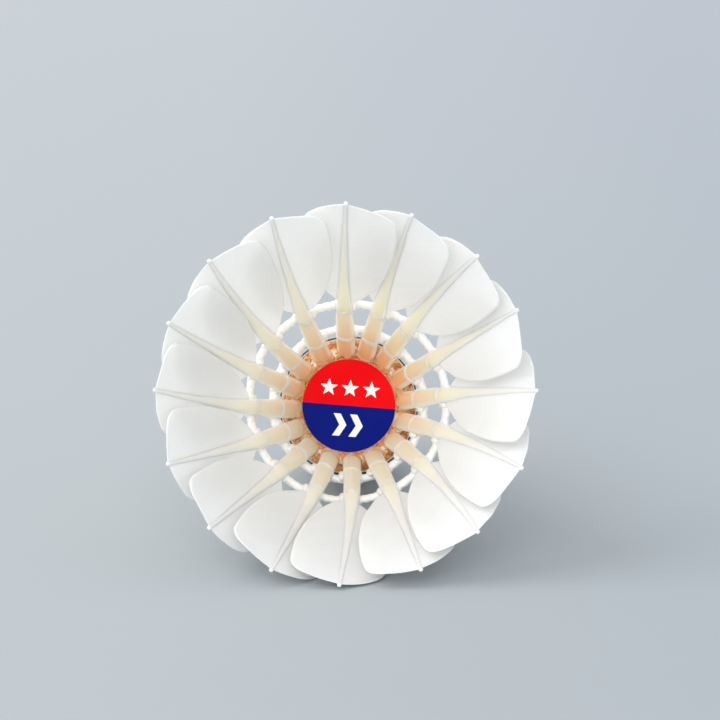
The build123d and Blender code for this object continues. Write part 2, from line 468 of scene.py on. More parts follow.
def build_vanes(number, feather):
    """Both vanes of a feather as one piece."""
    rng = np.random.default_rng(100 + number)
    sides = [build_vane_side(number, feather, side, rng) for side in (1, -1)]
    points = np.concatenate([side[0] for side in sides])
    faces = np.concatenate([sides[0][1], sides[1][1] + len(sides[0][0])])
    mesh = new_mesh(f"vane_{number:02d}", points, faces)
    add_values(mesh, "edge", np.concatenate([side[2] for side in sides]))
    add_values(mesh, "tone", np.concatenate([side[3] for side in sides]))
    add_uv(mesh, np.concatenate([side[4] for side in sides]))
    node = f"feather_{number:02d}_vane"
    return add_piece(f"{node}_barbs", mesh, VANE_MATERIAL, "vane", node)


# ------------------------ thread rows

LINK_RINGS = 72
LINK_SIDES = 20
LINK_BULGE = 0.45
LINK_THICKNESS = 0.70     # half sizes of the glued strip of threads
LINK_HEIGHT = 1.08
STRANDS = 3
STRAND_PITCH = 2.6
WRAP_RADIUS = 0.095


def ring_tube(centres, radii, wide, deep):
    """Tube points round a line of centres, with a radius grid (rows, cols)."""
    turn = full_turn(radii.shape[1])
    across = np.cos(turn)[None, :, None] * wide[:, None, :] + np.sin(turn)[None, :, None] * deep[:, None, :]
    return centres[:, None, :] + radii[..., None] * across


def cord_link(here, there, s, seed):
    """Glued cord from behind one quill to behind the next: twisted strands that thicken at both ends."""
    ends = []
    for feather in (here, there):
        _, deep, _ = quill_axes(feather, s)
        ends.append(quill_point(feather, s) + deep * (quill_size(s)[1] / 2 - 0.35))
    start, end = ends
    t = np.linspace(-0.04, 1.04, LINK_RINGS)
    radial = unit((start + end) * np.array([1.0, 1.0, 0.0]))
    centres = start + (end - start) * t[:, None]
    centres = centres + radial * (LINK_BULGE * 4 * t * (1 - t))[:, None]
    centres[:, 2] += 0.08 * ripple(centres, seed, 3.0)
    heading = np.gradient(centres, axis=0)
    heading /= np.linalg.norm(heading, axis=1, keepdims=True)
    normal = radial * math.cos(QUILL_SLOPE) - np.array([0.0, 0.0, math.sin(QUILL_SLOPE)])
    deep = unit_rows(np.cross(heading, normal))
    wide = np.cross(deep, heading)
    run = np.linalg.norm(end - start) * t
    turn = full_turn(LINK_SIDES)
    twist = np.cos(STRANDS * (turn[None, :] - 2 * math.pi * run[:, None] / (STRANDS * STRAND_PITCH / 2)))
    flare = np.abs(2 * t - 1)[:, None] ** 3
    radii = 1.0 + 0.05 * twist + 0.025 * ripple(centres, seed + 1, 1.6)[:, None]
    wide = wide * LINK_THICKNESS * (1 + 0.15 * flare)
    deep = deep * LINK_HEIGHT * (1 + 0.8 * flare)
    rings = ring_tube(centres, radii, wide, deep)
    return tube_points(rings), tube_faces(*rings.shape[:2])


def quill_wrap(feather, s, rise, seed):
    """Single thread round a quill, drawn tight on its oval."""
    rows, cols = 64, 10
    width, depth = quill_size(s)
    wide, deep, along = quill_axes(feather, s)
    turn = full_turn(rows)
    lift = 0.04
    x = np.cos(turn) * (width / 2 + lift)
    y = np.sin(turn) * (depth / 2 + lift)
    wander = rise * np.sin(turn) + 0.05 * np.sin(3 * turn + seed)
    centres = quill_point(feather, s) + x[:, None] * wide + y[:, None] * deep + wander[:, None] * along
    outward = unit_rows(x[:, None] * wide + y[:, None] * deep)
    radii = np.full((rows, cols), WRAP_RADIUS)
    rings = ring_tube(centres, radii, outward, np.broadcast_to(along, centres.shape))
    return rings.reshape(-1, 3), grid_faces(rows, cols, wrap_rows=True, wrap_cols=True).tolist()


def unit_rows(vectors):
    return vectors / np.linalg.norm(vectors, axis=-1, keepdims=True)


def blob(centre, axes, radii, seed):
    """Small rounded lump, used for glue and crumbs."""
    rows, cols = 9, 14
    polar = np.linspace(0.12, math.pi - 0.12, rows)[:, None]
    turn = full_turn(cols)[None, :]
    ball = np.stack([
        np.sin(polar) * np.cos(turn),
        np.sin(polar) * np.sin(turn),
        np.cos(polar) + 0 * turn,
    ], axis=-1)
    ball = ball * (1.0 + 0.10 * ripple(ball, seed, 2.0))[..., None]
    rings = centre + (ball * np.asarray(radii)) @ np.stack(axes)
    return tube_points(rings), tube_faces(rows, cols)


def build_thread_row(node, height):
    """A whole row: cords and the glue that rounds the corners, fused under one glue coat, then the wraps as a
    piece of their own.
    """
    s = height / math.cos(QUILL_SLOPE)
    parts, wraps = [], []
    following = FEATHERS[1:] + FEATHERS[:1]
    for index, (here, there) in enumerate(zip(FEATHERS, following)):
        parts.append(cord_link(here, there, s, 300 + index))
        wraps.append(quill_wrap(here, s - 0.22, 0.14, index))
        wraps.append(quill_wrap(here, s + 0.30, -0.12, index + 5))
        wide, deep, along = quill_axes(here, s)
        width, depth = quill_size(s)
        for side in (-1.0, 1.0):
            corner = quill_point(here, s) + wide * side * width * 0.50 + deep * depth * 0.24
            parts.append(blob(corner, (wide, deep, along), (0.80, 0.68, 1.6), 500 + index))
    add_piece(f"{node}_cord", fuse(node, parts, 0.10, 3), THREAD_MATERIAL, "thread", node)
    points, faces = gather(wraps)
    add_piece(f"{node}_wraps", new_mesh(f"{node}_wraps", points, faces), THREAD_MATERIAL, "thread")


# ------------------------ cork base

GRANULE_SIZE = 1.0
TOP_RINGS = 84
TOP_SEGMENTS = 330
BLOCK = 4000            # points handled at once
FIBRES = 1900
CRUMBS = 400
GLUE_CLEARANCE = 0.12   # between the glue and the label's edge


def granules(points, size, radius, seed):
    """Crushed cork: distance to the nearest two granule centres, and the nearest one's own number."""
    rng = np.random.default_rng(seed)
    count = int(math.pi * radius ** 2 / (0.7 * size ** 2))
    spread = radius * np.sqrt(rng.uniform(0.0, 1.0, count))
    angle = rng.uniform(0.0, 2 * math.pi, count)
    centres = np.stack([spread * np.sin(angle), spread * np.cos(angle)], axis=-1)
    tones = rng.uniform(0.0, 1.0, count)
    near = np.empty(len(points))
    second = np.empty(len(points))
    tone = np.empty(len(points))
    for start in range(0, len(points), BLOCK):
        block = points[start:start + BLOCK]
        gap = np.linalg.norm(block[:, None, :] - centres[None, :, :], axis=-1)
        order = np.argpartition(gap, 1, axis=1)[:, :2]
        pair = np.take_along_axis(gap, order, axis=1)
        flip = pair[:, 0] > pair[:, 1]
        nearest = np.where(flip, order[:, 1], order[:, 0])
        near[start:start + BLOCK] = pair.min(axis=1)
        second[start:start + BLOCK] = pair.max(axis=1)
        tone[start:start + BLOCK] = tones[nearest]
    return near, second, tone


def build_cork_top():
    """Composite cork disc: a granular, pitted top over a plain drum."""
    ring = np.linspace(0.0, 1.0, TOP_RINGS)[1:]
    radius = CORK_RADIUS * (1.0 - (1.0 - ring) ** 1.25)
    radius[-1] = CORK_RADIUS
    angle = full_turn(TOP_SEGMENTS)
    grid = np.stack([
        radius[:, None] * np.sin(angle)[None, :],
        radius[:, None] * np.cos(angle)[None, :],
    ], axis=-1)
    flat = grid.reshape(-1, 2)
    warped = flat + 0.12 * np.stack([ripple(flat, 21, 1.3), ripple(flat, 22, 1.3)], axis=-1)
    near, second, shade = granules(warped, GRANULE_SIZE, CORK_RADIUS + 0.5, 23)
    seam = 1.0 - smooth_step(second - near, 0.0, 0.28)
    height = 0.07 * (shade - 0.5) - 0.16 * seam + 0.025 * ripple(flat, 24, 0.5)
    free = smooth_step(np.linalg.norm(flat, axis=1), LABEL_RADIUS - 0.4, LABEL_RADIUS + 0.2)
    height = height * free - 0.02 * (1 - free)
    rim = smooth_step(np.linalg.norm(flat, axis=1), CORK_RADIUS - 0.35, CORK_RADIUS)
    height = height * (1 - rim) - 0.15 * rim

    # glue soaked into the face round each quill
    wet = np.zeros(len(flat))
    for feather in FEATHERS:
        centre = quill_point(feather, 0.0)[:2]
        gap = np.linalg.norm(flat - centre, axis=1)
        wet = np.maximum(wet, 1.0 - smooth_step(gap + 0.25 * ripple(flat, 25, 1.0), 1.3, 2.1))

    # dried glue drawn from quill to quill round the label
    reach = np.linalg.norm(flat, axis=1)
    web = 1.0 - smooth_step(reach + 0.35 * ripple(flat, 26, 1.1), 10.3, 11.3)
    fringe = 1.0 - smooth_step(reach + 0.12 * ripple(flat, 27, 0.6), 9.3, 10.0)
    height = height * (1.0 - 0.5 * web * free) + 0.09 * web * free

    top = np.concatenate([flat, height[:, None]], axis=1)
    rows = len(radius)
    drum = np.array([[CORK_RADIUS, -TOP_DISC_HEIGHT / 2], [CORK_RADIUS, -TOP_DISC_HEIGHT]])
    side = lathe(drum, TOP_SEGMENTS).transpose(1, 0, 2).reshape(-1, 3)
    points = np.concatenate([top, side, [[0.0, 0.0, -0.02], [0.0, 0.0, -TOP_DISC_HEIGHT]]])
    mesh = new_mesh("cork_top_grain", points, tube_faces(rows + 2, TOP_SEGMENTS))
    filler = 2 * TOP_SEGMENTS + 2
    add_values(mesh, "tone", np.concatenate([shade, np.full(filler, 0.5)]))
    for name, values in (("seam", seam), ("wet", wet), ("web", web), ("fringe", fringe)):
        add_values(mesh, name, np.concatenate([values, np.zeros(filler)]))
    return add_piece("cork_top_grain", mesh, CORK_TOP_MATERIAL, "composite_cork", "cork_top")


def build_crumbs():
    """Loose cork crumbs between the quills, and fine fibres that fringe the label's edge."""
    rng = np.random.default_rng(31)
    shells, tones = [], []
    for index in range(FIBRES + CRUMBS):
        angle = rng.uniform(0.0, 2 * math.pi)
        fibre = index < FIBRES
        if fibre:
            # on the cork at the label's edge, or higher up against the foot of a quill
            climbs = index % 2 == 0
            rise = rng.uniform(0.15, 0.85) if climbs else rng.uniform(0.10, 0.24)
            if climbs:
                root_angle = math.radians(FEATHERS[index % len(FEATHERS)][0])
                angle = root_angle + math.radians(rng.uniform(-7.5, 7.5))
            spread = LABEL_RADIUS + 0.10 + 0.36 * rise + abs(rng.normal(0.0, 0.10 if climbs else 0.32))
            radii = np.array([rng.uniform(0.12, 0.40), rng.uniform(0.03, 0.055), 0.045])
        else:
            rise = 0.12
            spread = rng.uniform(LABEL_RADIUS + 0.3, CORK_RADIUS - 0.2)
            radii = rng.uniform(0.05, 0.16) * rng.uniform(0.7, 1.5, 3)
        heading = angle + rng.normal(0.0, 0.8) + math.pi / 2
        lean = rng.normal(0.0, 0.25)
        flat = math.cos(lean)
        long = np.array([math.sin(heading) * flat, math.cos(heading) * flat, math.sin(lean)])
        side = unit(np.cross(long, (0.0, 0.0, 1.0)))
        centre = np.array([spread * math.sin(angle), spread * math.cos(angle), rise])
        shells.append(blob(centre, (long, side, np.cross(long, side)), radii, 700 + index))
        tones.append(np.full(len(shells[-1][0]), rng.uniform(0.0, 1.0)))
    mesh = new_mesh("cork_crumbs", *gather(shells))
    add_values(mesh, "tone", np.concatenate(tones))
    return add_piece("cork_crumbs", mesh, FIBRE_MATERIAL, "composite_cork")


def build_root_glue():
    """Amber glue that climbs each quill where it leaves the cork."""
    rows, cols = 16, 36
    shells = []
    for index, feather in enumerate(FEATHERS):
        turn = full_turn(cols)
        rise = np.linspace(0.0, 1.0, rows)
        rings = []
        for t in rise:
            s = -0.25 + 1.35 * t
            width, depth = quill_size(s)
            wide, deep, _ = quill_axes(feather, s)
            flare = 0.03 + 0.30 * (1.0 - t) ** 2.2
            edge = flare * (1.0 + 0.35 * np.sin(2 * turn + index) + 0.25 * np.sin(5 * turn + 2.1 * index))
            x = np.cos(turn) * (width / 2 + edge)
            y = np.sin(turn) * (depth / 2 + edge)
            drop = 0.18 * t * np.sin(3 * turn + 1.7 * index)
            centre = quill_point(feather, s)
            ring = centre + x[:, None] * wide + y[:, None] * deep
            ring[:, 2] += drop
            reach = np.linalg.norm(ring[:, :2], axis=1)
            ring[:, :2] *= (np.maximum(reach, LABEL_RADIUS + GLUE_CLEARANCE) / reach)[:, None]
            rings.append(ring)
        shells.append((tube_points(np.array(rings)), tube_faces(rows, cols)))
    mesh = new_mesh("root_glue_fillets", *gather(shells))
    return add_piece("root_glue_fillets", mesh, GLUE_MATERIAL, "glue", "root_glue")


def nose_arc(radius, count):
    angle = np.linspace(0.0, math.pi / 2, count)
    return np.stack([radius * np.cos(angle), -SIDE_HEIGHT - radius * np.sin(angle)], axis=-1)


def close_lathe(name, profile, segments, dents=0.0):
    """A solid of revolution from a profile that starts and ends on the axis."""
    middle = profile[1:-1]
    rings = lathe(middle, segments).transpose(1, 0, 2)
    if dents:
        radius = np.linalg.norm(rings[..., :2], axis=-1, keepdims=True)
        change = dents * ripple(rings, 41, 5.0)[..., None] * np.minimum(radius / 3.0, 1.0)
        rings = rings + change * unit_rows(rings - np.array([0.0, 0.0, -SIDE_HEIGHT]))
    ends = np.array([[0.0, 0.0, profile[0, 1]], [0.0, 0.0, profile[-1, 1]]])
    points = np.concatenate([rings.reshape(-1, 3), ends])
    return new_mesh(name, points, tube_faces(len(middle), segments))


def build_cork_nose():
    profile = np.concatenate([
        [[0.0, -TOP_DISC_HEIGHT], [6.0, -TOP_DISC_HEIGHT], [CORK_RADIUS, -TOP_DISC_HEIGHT]],
        nose_arc(CORK_RADIUS, 30)[:-1],
        [[0.0, -SIDE_HEIGHT - CORK_RADIUS]],
    ])
    mesh = close_lathe("cork_nose_solid", profile, 96)
    return add_piece("cork_nose_solid", mesh, CORK_NOSE_MATERIAL, "natural_cork", "cork_nose")


def build_skin():
    """Thin skin drawn over the cork, with a rolled top edge and faint stretch dents."""
    heights = np.linspace(-BAND_HEIGHT - 0.25, -SIDE_HEIGHT, 22)
    outer_side = np.stack([np.full(len(heights), SKIN_RADIUS), heights], axis=-1)
    outer = np.concatenate([
        [[BAND_INNER, -0.14], [BAND_INNER, -1.2], [BAND_INNER, -2.4], [BAND_INNER, -BAND_HEIGHT - 0.02]],
        outer_side,
        nose_arc(SKIN_RADIUS, 46)[1:-1],
    ])
    inner = nose_arc(CORK_RADIUS, 30)[1:-1][::-1]
    profile = np.concatenate([
        [[0.0, -SIDE_HEIGHT - CORK_RADIUS]],
        inner,
        [[CORK_RADIUS, -SIDE_HEIGHT], [CORK_RADIUS, -6.0], [CORK_RADIUS, -0.16], [CORK_RADIUS + 0.05, -0.08]],
        [[BAND_INNER - 0.05, -0.08]],
        outer,
        [[0.0, -SIDE_HEIGHT - SKIN_RADIUS]],
    ])
    mesh = close_lathe("leather_skin_grain", profile, 180, dents=0.02)
    return add_piece("leather_skin_grain", mesh, SKIN_MATERIAL, "skin", "leather_skin")


def build_band():
    """Ribbon glued round the rim: thick selvedges, fine ribs, and a lapped end."""
    segments = 420
    height = np.linspace(0.0, 1.0, 20)
    selvedge = 0.05 * (np.exp(-(height / 0.09) ** 2) + np.exp(-((1 - height) / 0.09) ** 2))
    radius = BAND_OUTER - 0.05 + selvedge
    outer = np.stack([radius, -BAND_HEIGHT * height], axis=-1)
    inner = np.array([[BAND_INNER + 0.01, -BAND_HEIGHT], [BAND_INNER + 0.01, 0.0]])
    profile = np.concatenate([outer, inner])
    rings = lathe(profile, segments)
    angle = full_turn(segments)
    lap = 0.14 * smooth_step(angle, 2.55, 2.58) * (1 - smooth_step(angle, 3.05, 3.5))
    ribs = 0.012 * np.sin(angle * 210)
    proud = np.concatenate([np.ones(20), [0.0, 0.0]])
    push = 1.0 + (lap + ribs)[:, None] * proud[None, :] / BAND_OUTER
    rings[..., :2] *= push[..., None]
    faces = grid_faces(segments, len(profile), wrap_rows=True, wrap_cols=True)
    mesh = new_mesh("rim_ribbon", rings.reshape(-1, 3), faces[:, ::-1])
    return add_piece("rim_ribbon", mesh, RIBBON_MATERIAL, "ribbon", "rim_band")


# ------------------------ label

LABEL_TURN = math.radians(4.4)     # the print is turned a little clockwise on the cork
PAPER_TOP = 0.105
INK_TOP = 0.125
MARK_TOP = 0.132
STAR_ROW = 3.2
STAR_SIZE = 1.7
STAR_PLACES = (-4.0, 0.0, 4.0)
CHEVRON_ROW = -3.7
CHEVRON_SIZE = 2.1
CHEVRON_THICK = 1.35
CHEVRON_PLACES = (-2.0, 1.1)


def prism(shape, low, high):
    """A flat shape (points in order) between two heights."""
    shape = np.asarray(shape, float)
    count = len(shape)
    turned = np.stack([
        shape[:, 0] * math.cos(LABEL_TURN) + shape[:, 1] * math.sin(LABEL_TURN),
        -shape[:, 0] * math.sin(LABEL_TURN) + shape[:, 1] * math.cos(LABEL_TURN),
    ], axis=-1)
    top = np.concatenate([turned, np.full((count, 1), high)], axis=1)
    bottom = np.concatenate([turned, np.full((count, 1), low)], axis=1)
    sides = [[i, i + count, (i + 1) % count + count, (i + 1) % count] for i in range(count)]
    faces = [list(range(count)), list(range(2 * count - 1, count - 1, -1))] + sides
    return np.concatenate([top, bottom]), faces


def half_disc(radius, start):
    angle = np.linspace(start, start + math.pi, 120)
    return np.stack([radius * np.cos(angle), radius * np.sin(angle)], axis=-1)


def star(centre, size):
    turn = np.arange(10) * math.pi / 5
    reach = np.where(np.arange(10) % 2 == 0, size, size * 0.42)
    return np.array(centre) + np.stack([reach * np.sin(turn), reach * np.cos(turn)], axis=-1)


def chevron(centre, size, thick):
    left, tall = -size * 0.35, size
    shape = [(left, tall), (left + thick, tall), (size * 0.55 + thick * 0.5, 0.0),
             (left + thick, -tall), (left, -tall), (size * 0.55 - thick * 0.5, 0.0)]
    return np.array(centre) + np.array(shape)


def build_label():
    """Round sticker: paper, two printed halves and plain white marks."""
    disc = np.concatenate([half_disc(LABEL_RADIUS, 0.0)[:-1], half_disc(LABEL_RADIUS, math.pi)[:-1]])
    points, faces = prism(disc, 0.0, PAPER_TOP)
    add_piece("label_paper", new_mesh("label_paper", points, faces, False), PAPER_MATERIAL, "label", "label")
    halves = (("label_red", 0.0, RED_MATERIAL), ("label_navy", math.pi, NAVY_MATERIAL))
    for name, start, material in halves:
        points, faces = prism(half_disc(LABEL_RADIUS - 0.02, start), PAPER_TOP, INK_TOP)
        add_piece(name, new_mesh(name, points, faces, False), material, "label")
    shapes = [star((x, STAR_ROW), STAR_SIZE) for x in STAR_PLACES]
    shapes += [chevron((x, CHEVRON_ROW), CHEVRON_SIZE, CHEVRON_THICK) for x in CHEVRON_PLACES]
    points, faces = gather([prism(shape, INK_TOP - 0.01, MARK_TOP) for shape in shapes])
    mesh = new_mesh("label_marks", points, faces, False)
    add_piece("label_marks", mesh, WHITE_INK_MATERIAL, "label")


# ------------------------ materials

class Material:
    """A Principled material built node by node."""

    def __init__(self, name, roughness, **shader):
        self.data = bpy.data.materials.new(name)
        self.data.use_nodes = True
        self.nodes = self.data.node_tree.nodes
        self.links = self.data.node_tree.links
        self.shader = self.nodes["Principled BSDF"]
        self.shader.inputs["Roughness"].default_value = roughness
        for key, value in shader.items():
            self.shader.inputs[key.replace("_", " ")].default_value = value
        self.normal = None

    def node(self, kind, **settings):
        node = self.nodes.new("ShaderNode" + kind)
        for key, value in settings.items():
            if key in node.inputs:
                node.inputs[key].default_value = value
            else:
                setattr(node, key, value)
        return node

    def join(self, source, target):
        self.links.new(source, target)

    def value(self, name):
        return self.node("Attribute", attribute_name=name).outputs["Fac"]

    def place(self, scale, source="Object"):
        """Texture coordinates, stretched."""
        mapping = self.node("Mapping")
        mapping.inputs["Scale"].default_value = scale
        self.join(self.node("TexCoord").outputs[source], mapping.inputs["Vector"])
        return mapping.outputs["Vector"]

    def noise(self, scale, detail=3.0, vector=None, roughness=0.55):
        node = self.node("TexNoise", Scale=scale, Detail=detail, Roughness=roughness)
        source = self.node("TexCoord").outputs["Object"] if vector is None else vector
        self.join(source, node.inputs["Vector"])
        return node.outputs["Fac"]

    def cells(self, scale):
        node = self.node("TexVoronoi", Scale=scale)
        self.join(self.node("TexCoord").outputs["Object"], node.inputs["Vector"])
        return node.outputs["Distance"]

    def spread(self, source, low, high, to_low=0.0, to_high=1.0):
        node = self.node("MapRange")
        keys = ("From Min", "From Max", "To Min", "To Max")
        for key, value in zip(keys, (low, high, to_low, to_high)):
            node.inputs[key].default_value = value
        self.join(source, node.inputs["Value"])
        return node.outputs["Result"]

    def ramp(self, source, stops):
        node = self.node("ValToRGB")
        elements = node.color_ramp.elements
        while len(elements) < len(stops):
            elements.new(0.5)
        for element, (position, colour) in zip(elements, stops):
            element.position = position
            element.color = (*colour, 1.0)
        self.join(source, node.inputs["Fac"])
        return node.outputs["Color"]

    def mix(self, share, first, second, blend="MIX"):
        node = self.node("Mix", data_type="RGBA", blend_type=blend)
        for socket, value in ((node.inputs[0], share), (node.inputs[6], first), (node.inputs[7], second)):
            if isinstance(value, bpy.types.NodeSocket):
                self.join(value, socket)
            elif isinstance(value, float):
                socket.default_value = value
            else:
                socket.default_value = (*value, 1.0)
        return node.outputs[2]

    def base(self, colour):
        self.join(colour, self.shader.inputs["Base Color"])

    def rough(self, source):
        self.join(source, self.shader.inputs["Roughness"])

    def bump(self, height, strength, distance):
        node = self.node("Bump", Strength=strength, Distance=distance)
        self.join(height, node.inputs["Height"])
        if self.normal is not None:
            self.join(self.normal, node.inputs["Normal"])
        self.normal = node.outputs["Normal"]
        self.join(self.normal, self.shader.inputs["Normal"])


def tone(red, green, blue):
    """Display colour, 0 to 255, to the shader's linear colour."""
    def linear(level):
        level /= 255.0
        return level / 12.92 if level <= 0.04045 else ((level + 0.055) / 1.055) ** 2.4
    return linear(red), linear(green), linear(blue)


def vane_material():
    m = Material("feather_vane", 0.66,
        Subsurface_Weight=0.8, Subsurface_Radius=(1.0, 0.97, 0.92), Subsurface_Scale=0.0012,
        Sheen_Weight=0.12, Sheen_Roughness=0.5, Specular_IOR_Level=0.3,
    )
    streak = m.noise(1.0, 4.0, m.place((150.0, 5.0, 1.0), "UV"))
    cloud = m.noise(90.0, 2.0)
    colour = m.mix(m.spread(streak, 0.3, 0.7, 0.0, 0.5), tone(255, 254, 250), tone(249, 248, 242))
    colour = m.mix(m.spread(m.value("tone"), -2.0, 2.0, 0.0, 0.25), colour, tone(240, 238, 231))
    colour = m.mix(m.spread(cloud, 0.4, 0.75, 0.0, 0.2), colour, tone(249, 247, 240))
    # painted highlight: the vane turns whiter along its trimmed edge
    colour = m.mix(m.spread(m.value("edge"), 0.93, 1.0, 0.0, 0.8), colour, tone(255, 255, 254))
    m.base(colour)
    m.rough(m.spread(streak, 0.2, 0.8, 0.58, 0.74))
    m.bump(streak, 0.22, 0.00006)
    return m.data


def quill_material():
    m = Material("feather_quill", 0.4,
        Subsurface_Weight=0.7, Subsurface_Radius=(1.0, 0.92, 0.78), Subsurface_Scale=0.0016,
        Coat_Weight=0.08, Coat_Roughness=0.3,
    )
    along = m.spread(m.value("along"), 0.0, 65.0)
    peach = m.ramp(along, [
        (0.0, tone(238, 188, 126)), (0.07, tone(240, 202, 150)), (0.17, tone(243, 226, 190)),
        (0.34, tone(246, 240, 216)), (0.6, tone(250, 247, 232)), (1.0, tone(254, 253, 250)),
    ])
    cream = m.ramp(along, [
        (0.0, tone(238, 220, 182)), (0.06, tone(241, 231, 204)), (0.2, tone(245, 238, 216)),
        (0.4, tone(249, 245, 230)), (0.65, tone(254, 252, 245)), (1.0, tone(255, 255, 253)),
    ])
    core = m.mix(m.spread(m.value("warm"), 0.1, 0.9), cream, peach)
    # painted light: the quill's flanks are paler than its middle, standing in for light through the thin horn
    # and lifting the shade on its rounded sides
    sides = m.mix(m.spread(along, 0.0, 0.3), tone(252, 243, 226), tone(253, 251, 244))
    streak = m.noise(1.0, 3.0, m.place((30.0, 4.0, 1.0), "UV"))
    colour = m.mix(m.spread(m.value("side"), 0.58, 0.86), core, sides)
    colour = m.mix(m.spread(streak, 0.35, 0.7, 0.0, 0.3), colour, tone(252, 245, 226), "MULTIPLY")
    m.base(colour)
    m.rough(m.spread(streak, 0.2, 0.8, 0.32, 0.5))
    m.bump(streak, 0.3, 0.00005)
    return m.data


def thread_material():
    m = Material("glued_thread", 0.45,
        Subsurface_Weight=0.5, Subsurface_Radius=(1.0, 0.95, 0.85), Subsurface_Scale=0.0012,
        Coat_Weight=0.2, Coat_Roughness=0.25,
    )
    fibre = m.noise(2600.0, 4.0)
    patch = m.noise(260.0, 2.0)
    colour = m.mix(m.spread(patch, 0.35, 0.7), tone(253, 252, 250), tone(245, 242, 234))
    colour = m.mix(m.spread(fibre, 0.4, 0.7, 0.0, 0.35), colour, tone(234, 230, 218))
    m.base(colour)
    m.rough(m.spread(patch, 0.3, 0.7, 0.38, 0.6))
    m.bump(fibre, 0.35, 0.00006)
    return m.data


def cork_top_material():
    m = Material("composite_cork", 0.8, Specular_IOR_Level=0.3)
    grain = m.ramp(m.value("tone"), [
        (0.0, tone(160, 96, 48)), (0.2, tone(226, 154, 92)), (0.5, tone(240, 184, 126)),
        (0.8, tone(248, 206, 156)), (1.0, tone(206, 132, 78)),
    ])
    speck = m.noise(3200.0, 5.0, roughness=0.7)
    colour = m.mix(m.spread(speck, 0.45, 0.68, 0.0, 0.5), grain, tone(186, 108, 56))
    colour = m.mix(m.spread(m.value("seam"), 0.35, 1.0, 0.0, 0.6), colour, tone(122, 66, 32))
    colour = m.mix(m.spread(m.value("wet"), 0.0, 1.0, 0.0, 0.75), colour, tone(246, 214, 172))
    threads = m.noise(1500.0, 5.0, roughness=0.7)
    cream = m.mix(m.spread(threads, 0.5, 0.66), tone(246, 234, 212), tone(226, 156, 98))
    colour = m.mix(m.spread(m.value("web"), 0.2, 0.8, 0.0, 0.92), colour, cream)
    bristle = m.mix(m.spread(m.noise(2200.0, 4.0), 0.42, 0.6), tone(176, 98, 46), tone(236, 172, 112))
    m.base(m.mix(m.spread(m.value("fringe"), 0.0, 1.0, 0.0, 0.9), colour, bristle))
    m.rough(m.spread(m.value("wet"), 0.0, 1.0, 0.84, 0.5))
    m.bump(speck, 0.5, 0.0001)
    return m.data


def fibre_material():
    m = Material("cork_fibre", 0.8, Specular_IOR_Level=0.3)
    colour = m.ramp(m.value("tone"), [
        (0.0, tone(150, 78, 34)), (0.35, tone(202, 120, 62)),
        (0.7, tone(230, 160, 102)), (1.0, tone(242, 206, 164)),
    ])
    speck = m.noise(2600.0, 3.0)
    m.base(m.mix(m.spread(speck, 0.4, 0.7, 0.0, 0.4), colour, tone(190, 112, 60)))
    return m.data


def cork_nose_material():
    m = Material("natural_cork", 0.85)
    cell = m.cells(900.0)
    fleck = m.noise(180.0, 5.0, m.place((1.0, 1.0, 3.0)))
    colour = m.ramp(fleck, [(0.3, tone(132, 88, 52)), (0.45, tone(190, 146, 98)), (0.7, tone(212, 172, 122))])
    m.base(m.mix(m.spread(cell, 0.0, 0.5, 0.25, 0.0), colour, tone(120, 76, 44)))
    m.bump(cell, 0.5, 0.0001)
    return m.data


def skin_material():
    m = Material("white_skin", 0.45,
        Subsurface_Weight=0.12, Subsurface_Radius=(1.0, 0.9, 0.8), Subsurface_Scale=0.0006,
        Coat_Weight=0.08, Coat_Roughness=0.35,
    )
    pore = m.cells(2300.0)
    crease = m.noise(420.0, 5.0)
    shade = m.noise(45.0, 2.0)
    colour = m.mix(m.spread(shade, 0.35, 0.7), tone(246, 244, 238), tone(238, 233, 222))
    colour = m.mix(m.spread(pore, 0.0, 0.35, 0.35, 0.0), colour, tone(214, 207, 192))
    m.base(colour)
    m.rough(m.spread(crease, 0.3, 0.7, 0.38, 0.56))
    m.bump(m.spread(pore, 0.0, 0.5), 0.4, 0.00005)
    m.bump(crease, 0.25, 0.0001)
    return m.data


def ribbon_material():
    m = Material("dark_ribbon", 0.5, Sheen_Weight=0.3, Sheen_Roughness=0.4)
    weave = m.noise(2400.0, 2.0, m.place((1.0, 1.0, 0.25)))
    patch = m.noise(130.0, 3.0)
    colour = m.mix(m.spread(weave, 0.3, 0.7), tone(34, 46, 52), tone(58, 72, 78))
    m.base(m.mix(m.spread(patch, 0.4, 0.7, 0.0, 0.4), colour, tone(40, 54, 56)))
    m.rough(m.spread(weave, 0.3, 0.7, 0.4, 0.62))
    m.bump(weave, 0.5, 0.00008)
    return m.data


def glue_material():
    m = Material("amber_glue", 0.3,
        Subsurface_Weight=0.5, Subsurface_Radius=(1.0, 0.6, 0.3), Subsurface_Scale=0.0012,
        Coat_Weight=0.3, Coat_Roughness=0.2,
    )
    patch = m.noise(700.0, 3.0)
    m.base(m.mix(m.spread(patch, 0.35, 0.7), tone(244, 212, 168), tone(224, 164, 108)))
    m.rough(m.spread(patch, 0.3, 0.7, 0.24, 0.5))
    m.bump(patch, 0.3, 0.0001)
    return m.data


def ink_material(name, colour, worn):
    m = Material(name, 0.5, Specular_IOR_Level=0.06)
    grain = m.noise(5200.0, 3.0)
    cloud = m.noise(210.0, 2.0)
    shade = m.mix(m.spread(cloud, 0.35, 0.7, 0.0, 0.5), colour, worn)
    m.base(m.mix(m.spread(grain, 0.5, 0.75, 0.0, 0.25), shade, worn))
    m.rough(m.spread(cloud, 0.3, 0.7, 0.46, 0.6))
    m.bump(grain, 0.12, 0.00003)
    return m.data


